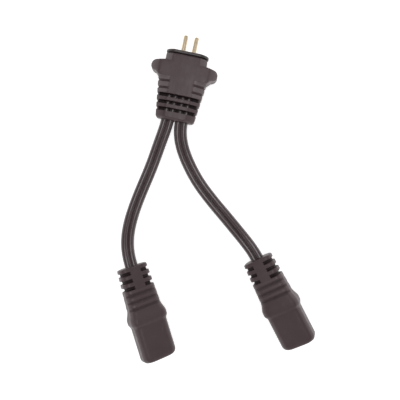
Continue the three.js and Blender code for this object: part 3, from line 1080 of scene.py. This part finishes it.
@dataclass
class PinHolder:
    """The plug's hard insert: the rim in front and the block in the pocket.

    Attributes are in mm. The block's are its half width, half height and end depth, the root's
    are distances behind the rim with how much wider the block is there, and the facets are the
    corner sizes of the front face, the rim and the block. The crease is in degrees.
    """

    half_width: float = 9.55
    half_height: float = 5.0
    thickness: float = 1.3
    edge: float = 0.4
    face_inset: float = 1.5
    block: tuple[float, float, float] = (6.6, 3.3, 8.2)
    block_chamfer: float = 0.3
    root: tuple[tuple[float, float], ...] = ((0.0, 0.4), (0.02, 0.05), (0.3, 0.0))
    facets: tuple[float, float, float] = (2.6, 3.6, 1.6)
    least_upright: float = 0.3
    columns: tuple[int, int] = (8, 24)
    level_share: float = 0.4
    crease: float = 40.0
    flatness: float = 0.35

    def build(self, palette: Palette) -> bpy.types.Object:
        """Makes the insert as one skin from its front face back to the block's end.

        Args:
            palette: The finishes.

        Returns:
            The piece.
        """
        inset, lead = (self.edge * share for share in rounding(6))
        rim_inset = np.concatenate([[self.face_inset], inset, inset[::-1]])
        block_width, block_height, block_end = self.block
        behind, wider = np.array(self.root).T
        wider = np.concatenate([wider, [0.0, -self.block_chamfer]])
        depth = np.concatenate([
            [0.0], lead, self.thickness - lead[::-1],
            self.thickness + behind, [block_end - self.block_chamfer, block_end],
        ])
        half_width = np.concatenate([self.half_width - rim_inset, block_width + wider])
        half_height = np.concatenate([self.half_height - rim_inset, block_height + wider])
        facet = np.repeat(self.facets, [1, 2 * len(inset), len(wider)])
        rows = Rows(depth, half_width, half_height, facet,
                    np.minimum(facet, half_height - self.least_upright),
                    np.zeros(len(depth), dtype=bool))
        quarter = Quarter.of(rows, [half_width * self.level_share], self.columns, self.flatness, 0.0)
        ends = np.array([[0.0, 0.0, 0.0], [0.0, -block_end, 0.0]])
        piece = make_piece("pin_holder", quarter.rings(depth), ends,
                           palette.get(Finish.INSERT), crease=self.crease)
        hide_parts("pin_carrier")
        return piece


class Pole(Enum):
    """The two poles, by the side of the connector's middle that each lies on."""

    NEGATIVE = -1
    POSITIVE = 1

    @property
    def label(self) -> str:
        """Name of the pole in the part's nodes."""
        return self.name.lower()


@dataclass
class Pin:
    """One turned pin: domed tip, shank, collar and a cup for the two tails.

    Attributes are in mm, but the crease is in degrees. Starts and ends are depths behind the
    mating face, and the root is the shank's last short row in front of the collar.
    """

    pole: Pole
    offset: float = 2.45
    radius: float = 1.0
    reach: float = 8.1
    dome: float = 0.6
    tip_flat: float = 0.35
    chamfer: float = 0.08
    root: float = 0.02
    crease: float = 35.0
    collar_radius: float = 1.75
    collar_start: float = 8.5
    cup_end: float = 13.1
    cup_bore: float = 1.1
    cup_depth: float = 2.7
    sides: int = 56

    def profile(self) -> tuple[Array, Array]:
        """Radius against depth from the tip round to the bottom of the cup.

        The dome is a quarter ellipse that leaves a small flat at the tip.

        Returns:
            Radii and depths.
        """
        falling, growing = rounding(10)
        start, end, worn = self.collar_start, self.cup_end, self.collar_radius - self.chamfer
        behind = np.array([
            (self.radius, start - self.root),
            (self.radius, start),
            (worn, start),
            (self.collar_radius, start + self.chamfer),
            (self.collar_radius, end - self.chamfer),
            (worn, end),
            (self.cup_bore, end),
            (self.cup_bore, end - self.cup_depth),
        ])
        tip = self.radius - (self.radius - self.tip_flat) * falling
        radius = np.concatenate([tip, behind[:, 0]])
        depth = np.concatenate([self.dome * growing - self.reach, behind[:, 1]])
        return radius, depth

    def build(self, palette: Palette) -> bpy.types.Object:
        """Turns the profile about the pin's own line.

        Each ring's points are the radius times the cosine and sine of the angle.

        Args:
            palette: The finishes.

        Returns:
            The piece.
        """
        radius, depth = self.profile()
        angle = np.arange(self.sides) * 2.0 * np.pi / self.sides
        centre = self.pole.value * self.offset
        x = centre + radius[:, None] * np.cos(angle)
        z = radius[:, None] * np.sin(angle)
        y = np.broadcast_to(-depth[:, None], x.shape)
        rings = np.stack([x, y, z], axis=-1)
        ends = np.array([[centre, -depth[0], 0.0], [centre, -depth[-1], 0.0]])
        piece = make_piece(f"{self.pole.label}_pin_turned", rings, ends,
                           palette.get(Finish.BRASS), crease=self.crease)
        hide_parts(f"{self.pole.label}_pin")
        return piece


# Sockets


@dataclass
class SocketBody:
    """A socket's moulding: smooth barrel, bulge, grooved neck and open discs at the cable.

    Attributes are in mm, and repeat the part's own sizes. A size is a half width and half height,
    and a facet a corner's width and height. The paler marks on the ribs and sides are painted
    highlights, given by how strong they are; the sides' comes with the share of the half width at
    which it starts and over which it comes in. The groove shade is painted shade, and the top is
    darkened a little away from the sides.
    """

    barrel: float = 16.4
    land: float = 3.6
    shoulder: float = 3.1
    neck: float = 7.8
    barrel_size: tuple[float, float] = (7.8, 4.55)
    bulge_size: tuple[float, float] = (8.55, 5.2)
    bulge_corner: float = 2.1
    neck_size: tuple[float, float] = (7.5, 4.4)
    end_size: tuple[float, float] = (6.6, 3.85)
    mouth_length: float = 2.4
    mouth_inset: float = 1.9
    mouth_drop: float = 1.0
    step: float = 1.1
    rear_edge: float = 0.6
    row_step: float = 0.35
    easing: float = 0.7
    facet: tuple[float, float] = (2.5, 2.3)
    mouth_facet_height: float = 2.0
    columns: tuple[int, int] = (12, 44)
    flatness: float = 0.35
    crown: float = 0.2
    groove_count: int = 3
    groove_pitch: float = 3.05
    groove_inset: float = 1.1
    groove_half: float = 1.0
    groove_flank: float = 0.85
    groove_depth: float = 0.5
    groove_level: tuple[float, float] = (0.3, 0.5)
    # Painted shade in the grooves, painted highlights on the ribs and sides, and darkening of the top
    # away from the sides.
    groove_shade: float = 0.45
    rib_half: float = 0.7
    rib_flank: float = 0.5
    rib_highlight: float = 0.3
    side_highlight: tuple[float, float, float] = (0.35, 0.8, 0.12)
    top_darkening: float = 0.16
    disc_count: int = 4
    disc_thickness: float = 1.75
    disc_pitch: float = 3.25
    spine: float = 2.4
    core: tuple[float, float, float] = (5.9, 2.3, 1.3)
    gap_half: float = 0.85
    gap_flank: float = 0.4
    mouth: Mouth = Mouth((5.3, 3.0, 17.5), (4.75, 2.3, 23.4), 1.5, (0.4, 0.08), (0.03, 0.12))

    @property
    def foot(self) -> float:
        """Depth at which the bulge has come down to the neck."""
        return self.barrel + self.land + self.shoulder

    @property
    def length(self) -> float:
        """Depth of the rear face."""
        return self.foot + self.neck + self.disc_pitch * (self.disc_count - 1) + self.disc_thickness

    @property
    def gaps(self) -> Array:
        """Depth of the middle of each open gap."""
        last = self.length - (self.disc_pitch + self.disc_thickness) / 2.0
        return last - self.disc_pitch * np.arange(self.disc_count - 1)

    @property
    def grooves(self) -> Array:
        """Depth of the middle of each shallow groove."""
        return self.foot + self.groove_inset + self.groove_pitch * np.arange(self.groove_count)

    def rows(self) -> Rows:
        """Rows over the pocket, the rounded mouth, the outside and the rear edge.

        Returns:
            The sections.
        """
        first, last = self.mouth_length, self.length - self.rear_edge
        top, ridge = self.barrel + self.step, self.barrel + self.land
        knots = np.array([0.0, self.barrel, top, ridge, self.foot, self.length])
        sizes = np.array([self.barrel_size, self.barrel_size, self.bulge_size, self.bulge_size,
                          self.neck_size, self.end_size])
        lines = np.unique(np.round(np.concatenate([
            knots,
            self.barrel + self.step * np.array([0.2, 0.4, 0.6, 0.8]),
            np.arange(first, last, self.row_step),
            bump_lines(self.grooves, self.groove_half, self.groove_flank),
            bump_lines(self.gaps, self.gap_half, self.gap_flank),
        ]), 3))
        lines = lines[(lines > first) & (lines < last)]
        mouth_falling, mouth_growing = (share[1:] for share in rounding(12))
        falling, growing = (self.rear_edge * share for share in rounding(6))
        at = np.concatenate([self.mouth_length * mouth_growing, lines, self.length - falling])
        drawn, inset = np.zeros(len(at)), np.zeros(len(at))
        drawn[:len(mouth_falling)] = mouth_falling
        inset[-len(growing):] = growing
        half_width, half_height = (
            self.softened(at, knots, sizes[:, i]) - drawn * lost - inset
            for i, lost in enumerate((self.mouth_inset, self.mouth_drop)))
        facet_width, facet_height = (np.full(len(at), size) for size in self.facet)
        facet_height += (self.mouth_facet_height - self.facet[1]) * drawn
        outer = np.ones(len(at), dtype=bool)
        outside = Rows(at, half_width, half_height, facet_width, facet_height, outer)
        return self.mouth.rows(0.0).then(outside)

    def softened(self, at: Array, knots: Array, sizes: Array) -> Array:
        """Half size against depth: straight between knots, with the knots themselves eased.

        The easing is the mean of the straight run over a short window round each depth.

        Args:
            at: Depths wanted.
            knots: Depths of the knots.
            sizes: The half size at each knot.

        Returns:
            The half size at each depth.
        """
        window = np.linspace(-self.easing, self.easing, 15)
        return np.interp(at[:, None] + window[None, :], knots, sizes).mean(axis=1)

    def gap_outline(self, count: int) -> tuple[Array, Array]:
        """Outline at the bottom of a gap, from the spine's foot round the core to its side.

        Args:
            count: How many points, evenly spaced along it.

        Returns:
            Distances across and heights.
        """
        width, height, corner = self.core
        falling, growing = rounding(9)
        x = np.concatenate([[self.spine + HALF_WALL], width - corner * falling, [width]])
        z = np.concatenate([[height], height - corner * growing, [0.0]])
        along = np.concatenate([[0.0], np.cumsum(np.hypot(np.diff(x), np.diff(z)))])
        at = np.linspace(0.0, along[-1], count)
        return np.interp(at, along, x), np.interp(at, along, z)

    def build(self, name: str, placement: Placement, palette: Palette) -> bpy.types.Object:
        """Makes the moulding.

        The grooves press the top in. In the gaps everything outside the spine comes in to the
        core's outline, so that the discs between them stand free.

        Args:
            name: The branch's name.
            placement: Where the socket lies.
            palette: The finishes.

        Returns:
            The piece.
        """
        rows = self.rows()
        spine = np.where(rows.outer, self.spine, self.spine * rows.half_width / self.barrel_size[0])
        quarter = Quarter.of(rows, [spine], self.columns, self.flatness, self.crown)
        outer = rows.outer[:, None]
        low, run = self.groove_level
        level = smooth_rise((quarter.z / rows.half_height[:, None] - low) / run)
        groove = bump_along(rows.depth, self.grooves, self.groove_half, self.groove_flank)[:, None]
        groove = groove * level * outer
        quarter.press_in(self.groove_depth * groove)

        first = quarter.marks[0] + 1
        full_x, full_z = (np.concatenate([np.zeros(first), outline])[None, :]
                          for outline in self.gap_outline(quarter.x.shape[1] - first))
        share = bump_along(rows.depth, self.gaps, self.gap_half, self.gap_flank)[:, None] * outer
        share = share * (np.arange(quarter.x.shape[1]) >= first)[None, :]
        quarter.morph(share, full_x, full_z)

        # Painted highlight on the sides and on the ribs between the grooves.
        side_most, start, run = self.side_highlight
        side = smooth_rise((quarter.x / rows.half_width[:, None] - start) / run) * (1.0 - share)
        middles = self.grooves + self.groove_pitch / 2.0
        ribs = bump_along(rows.depth, middles, self.rib_half, self.rib_flank)[:, None] * level
        painted_highlight = np.maximum(side_most * side, self.rib_highlight * ribs * (1.0 - groove))
        # Painted shade in the grooves and gaps, the top a little darker away from the sides, the mouth
        # inside fully shaded; painted highlight below 0.
        shade = self.top_darkening * (1.0 - side) + self.groove_shade * groove
        painted_light = np.where(outer, np.maximum(share, shade) - painted_highlight * (1.0 - share), 1.0)
        piece = build_moulding(f"{name}_socket_moulding", quarter, rows, painted_light, placement,
                               palette.get(Finish.SLEEVE))
        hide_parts(f"{name}_socket_overmould")
        return piece


# Cables


@dataclass
class Branch:
    """One branch: its cable's route and the roll of the socket that it ends in.

    Attributes:
        name: left or right.
        roll: Turn of the socket about its own axis, in degrees.
        route: Points of the cable's middle line in mm, from its stripped end in the plug.
        lobe_radius: Radius of either lobe.
        lobe_pitch: Distance between the lobes' middles.
        into_socket: How far the cable's inner end lies behind the socket's face.
        level_roll: Distance from the inner end over which the cable has the socket's roll.
        turning: Distance before that over which it turns.
        groove_fill: How full the bottom of the groove between the lobes is.
        rings: Rings along the cable.
        sides: Points round it.
    """

    name: str
    roll: float
    route: list[tuple[float, float, float]]
    lobe_radius: float = 1.55
    lobe_pitch: float = 2.8
    into_socket: float = 23.4
    level_roll: float = 20.0
    turning: float = 30.0
    groove_fill: float = 0.006
    rings: int = 320
    sides: int = 72

    @property
    def width(self) -> float:
        """The cable's whole width across both lobes."""
        return self.lobe_pitch + 2.0 * self.lobe_radius

    def centre_line(self) -> Array:
        """The cable's middle line."""
        return spline_through(np.array(self.route), self.rings)

    def length(self) -> float:
        """Length of the middle line in mm."""
        return float(np.linalg.norm(np.diff(self.centre_line(), axis=0), axis=1).sum())

    def placement(self, body: SocketBody) -> Placement:
        """Where this branch's socket lies: in line with the cable's end, resting on its bulge.

        The height is that of a rolled rounded rectangle's middle over the table: for half sizes
        w and h and corner c, (w - c) sin + (h - c) cos + c.

        Args:
            body: The socket's sizes.

        Returns:
            The placement.
        """
        points = np.array(self.route)
        heading = points[-1] - points[-3]
        heading[2] = 0.0
        heading /= np.linalg.norm(heading)
        corner = body.bulge_corner
        turn = abs(math.radians(self.roll))
        width, height = (size - corner for size in body.bulge_size)
        origin = points[-1] + heading * self.into_socket
        origin[2] = TABLE_HEIGHT + width * math.sin(turn) + height * math.cos(turn) + corner
        return Placement(origin, heading, self.roll)

    def build(self, palette: Palette) -> bpy.types.Object:
        """Carries the twin-lobe outline along the middle line.

        In polar form about its middle the outline of two circles of radius R at distance c is
        c |cos a| + sqrt(R^2 - c^2 sin^2 a); the bar of the cosine is rounded a little, which
        fills the groove's bottom. The outline lies level and turns about the line near the end.

        Args:
            palette: The finishes.

        Returns:
            The piece.
        """
        line = self.centre_line()
        tangent = np.gradient(line, axis=0)
        tangent /= np.linalg.norm(tangent, axis=1)[:, None]
        flat = np.cross(np.array([0.0, 0.0, 1.0]), tangent)
        flat /= np.linalg.norm(flat, axis=1)[:, None]
        steps = np.linalg.norm(np.diff(line, axis=0), axis=1)
        along = np.concatenate([[0.0], np.cumsum(steps)])
        turn_start = along[-1] - self.level_roll - self.turning
        turn = math.radians(self.roll) * smooth_rise((along - turn_start) / self.turning)
        across = flat * np.cos(turn)[:, None] + np.cross(tangent, flat) * np.sin(turn)[:, None]
        up = np.cross(tangent, across)
        angle = np.arange(self.sides) * 2.0 * np.pi / self.sides
        middle = self.lobe_pitch / 2.0
        radius = middle * np.sqrt(np.cos(angle) ** 2 + self.groove_fill) + np.sqrt(
            self.lobe_radius**2 - (middle * np.sin(angle)) ** 2)
        radius *= (middle + self.lobe_radius) / radius.max()
        x, z = (part[None, :, None] for part in (radius * np.cos(angle), radius * np.sin(angle)))
        rings = line[:, None, :] + x * across[:, None, :] + z * up[:, None, :]
        piece = make_piece(f"{self.name}_cable_jacket", rings, line[[0, -1]],
                           palette.get(Finish.JACKET))
        self.unwrap(piece, along)
        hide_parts(f"{self.name}_cable")
        exit_point = (self.route[0][0] * MM, -PlugBody.length * MM, 0.0)
        self.length() * MM
        return piece

    def unwrap(self, piece: bpy.types.Object, along: Array) -> None:
        """UV map: u runs along the cable in metres, v once round it.

        On a face that crosses the seam, where v starts anew, the low values of v grow by one.

        Args:
            piece: The cable.
            along: Distance of each ring along the cable, in mm.
        """
        mesh = piece.data
        corner = np.empty(len(mesh.loops), dtype=np.int64)
        mesh.loops.foreach_get("vertex_index", corner)
        ring = np.minimum(corner // self.sides, self.rings - 1)
        seam = 0.1
        v = (corner % self.sides) / self.sides
        u = along[ring] * MM
        face = np.repeat(np.arange(len(mesh.polygons)), [len(p.vertices) for p in mesh.polygons])
        highest = np.maximum.reduceat(v, np.searchsorted(face, np.arange(len(mesh.polygons))))
        v = np.where((highest[face] > 1.0 - seam) & (v < seam), v + 1.0, v)
        layer = mesh.uv_layers.new(name="UVMap")
        layer.data.foreach_set("uv", np.stack([u, v], axis=-1).ravel())


BRANCHES = (
    Branch("left", -26.0, [
        (-3.1, -18.1, 0), (-3.1, -21.7, 0), (-3.1, -25.3, 0), (-3.1, -29.1, 0), (-3.31, -33.0, -0.12),
        (-3.99, -37.7, -0.85), (-4.79, -42.4, -1.85), (-5.55, -47.1, -2.75), (-6.33, -51.8, -3.3),
        (-7.2, -56.5, -3.44), (-8.14, -61.15, -3.44), (-9.06, -65.85, -3.4), (-9.84, -70.55, -3.1),
        (-10.39, -75.25, -2.4), (-10.6, -80.0, -1.3), (-10.33, -84.8, 0.0), (-9.43, -89.45, 1.25),
        (-7.82, -93.9, 2.25), (-5.69, -98.15, 2.68), (-3.54, -102.1, 2.71), (-1.38, -106.05, 2.71),
        (1.01, -110.45, 2.71), (3.4, -114.85, 2.71),
    ]),
    Branch("right", 18.0, [
        (3.1, -18.1, 0), (3.1, -21.7, 0), (3.1, -25.3, 0), (3.1, -29.1, 0), (3.26, -33.0, -0.12),
        (4.27, -37.75, -0.9), (6.23, -42.3, -1.95), (8.83, -46.55, -2.85), (11.8, -50.55, -3.35),
        (15.05, -54.35, -3.44), (18.55, -57.85, -3.44), (22.3, -61.15, -3.4), (26.1, -64.3, -3.05),
        (30.0, -67.4, -2.35), (33.85, -70.5, -1.4), (37.7, -73.65, -0.3), (41.55, -76.85, 0.8),
        (45.25, -80.15, 1.6), (48.6, -83.8, 2.01), (51.4, -87.35, 2.04), (54.2, -90.85, 2.04),
        (57.32, -94.75, 2.04), (60.44, -98.65, 2.04),
    ]),
)


# Studio


@dataclass
class Studio:
    """Camera, floor and lights.

    Attributes:
        camera_at: The camera's place in mm; it looks straight down.
        camera_turn: Its turn about the vertical, in degrees.
        lens: Focal length in mm.
        sensor: Width of the sensor in mm.
        clip: The nearest and furthest distance that the camera sees, in metres.
        floor_half_size: Half the floor's size in metres.
        floor_gap: How far the floor lies below the lowest points, in mm.
        overhead: Place in mm, width and length in mm and power in watts of the strip overhead.
        horizon: World brightness at the horizon, half way up and overhead.
        brightest: The brightness that the curve's upper end stands for.
    """

    camera_at: tuple[float, float, float] = (18.32, -63.18, 240.75)
    camera_turn: float = 11.5
    lens: float = 48.15
    sensor: float = 36.0
    clip: tuple[float, float] = (0.01, 20.0)
    floor_half_size: float = 3.0
    floor_gap: float = 0.02
    overhead: tuple[tuple[float, float, float], tuple[float, float], float] = (
        (25.0, -50.0, 520.0), (220.0, 420.0), 1.0)
    horizon: tuple[float, float, float] = (1.35, 0.32, 0.42)
    brightest: float = 2.0

    def aim_camera(self) -> None:
        """Camera straight above, turned so that the plug leans as in the photograph."""
        camera = bpy.data.cameras.new("camera")
        camera.lens = self.lens
        camera.sensor_width = self.sensor
        camera.clip_start, camera.clip_end = self.clip
        holder = bpy.data.objects.new("camera", camera)
        holder.location = [v * MM for v in self.camera_at]
        holder.rotation_euler = (0.0, 0.0, math.radians(self.camera_turn))
        bpy.context.scene.collection.objects.link(holder)
        bpy.context.scene.camera = holder

    def lay_floor(self) -> None:
        """Wide pale floor at the table's height."""
        size = self.floor_half_size
        height = (TABLE_HEIGHT - self.floor_gap) * MM
        mesh = bpy.data.meshes.new("floor")
        mesh.from_pydata([(-size, -size, height), (size, -size, height), (size, size, height),
                          (-size, size, height)], [], [(0, 1, 2, 3)])
        mesh.materials.append(PaleFloor().material())
        floor = bpy.data.objects.new("floor", mesh)
        bpy.context.scene.collection.objects.link(floor)

    def light(self) -> None:
        """Strip overhead, and a world that is brighter low down than half way up."""
        place, (width, length), power = self.overhead
        lamp = bpy.data.lights.new("overhead", "AREA")
        lamp.shape = "RECTANGLE"
        lamp.size = width * MM
        lamp.size_y = length * MM
        lamp.energy = power
        holder = bpy.data.objects.new("overhead", lamp)
        holder.location = [v * MM for v in place]
        bpy.context.scene.collection.objects.link(holder)

        world = bpy.data.worlds.new("studio")
        world.use_nodes = True
        bpy.context.scene.world = world
        tree = world.node_tree
        ways = tree.nodes.new("ShaderNodeTexCoord")
        split = tree.nodes.new("ShaderNodeSeparateXYZ")
        ramp = tree.nodes.new("ShaderNodeFloatCurve")
        curve = ramp.mapping.curves[0]
        low, middle, high = (strength / self.brightest for strength in self.horizon)
        curve.points[0].location = (0.0, low)
        curve.points[1].location = (1.0, high)
        for height, value in ((0.25, 0.95 * low), (0.6, middle), (0.85, middle)):
            curve.points.new(height, value)
        ramp.mapping.update()
        scaled = tree.nodes.new("ShaderNodeMath")
        scaled.operation = "MULTIPLY"
        scaled.inputs[1].default_value = self.brightest
        tree.nodes["Background"].inputs["Color"].default_value = (1.0, 1.0, 1.0, 1.0)
        tree.links.new(ways.outputs["Generated"], split.inputs[0])
        tree.links.new(split.outputs["Z"], ramp.inputs["Value"])
        tree.links.new(ramp.outputs["Value"], scaled.inputs[0])
        tree.links.new(scaled.outputs[0], tree.nodes["Background"].inputs["Strength"])

    def set_view(self) -> None:
        """Plain display colours, so that the white floor stays white."""
        scene = bpy.context.scene
        scene.view_settings.view_transform = "Standard"
        scene.view_settings.look = "None"
        scene.view_settings.exposure = 0.0
        scene.view_settings.gamma = 1.0


def dress_inner_nodes(frame: dict, palette: Palette) -> int:
    """Gives the nodes that stay as they are their finish.

    Args:
        palette: The finishes.

    Returns:
        How many nodes were dressed.
    """
    slots = {entry["node"]: Finish(entry["material_slot"]) for entry in frame["record"]["subparts"]}
    for name, node in frame["nodes"].items():
        finish = palette.get(slots[name])
        node.data.materials.clear()
        node.data.materials.append(finish)
    return len(frame["nodes"])


def main() -> None:
    """Builds the studio, then the splitter from the cables outwards."""
    logging.basicConfig(level=logging.INFO, format="%(message)s", stream=sys.stdout)
    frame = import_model()
    palette = Palette()

    studio = Studio()
    studio.set_view()
    studio.aim_camera()
    for branch in BRANCHES:
        LOG.info("%s: %.1f mm", branch.build(palette).name, branch.length())
    studio.lay_floor()
    studio.light()

    LOG.info("dressed %d nodes", dress_inner_nodes(frame, palette))
    LOG.info("%s", PlugBody().build(palette).name)
    LOG.info("%s", PinHolder().build(palette).name)
    for pole in Pole:
        LOG.info("%s", Pin(pole).build(palette).name)
    body = SocketBody()
    for branch in BRANCHES:
        LOG.info("%s", body.build(branch.name, branch.placement(body), palette).name)


if __name__ == "__main__":
    main()
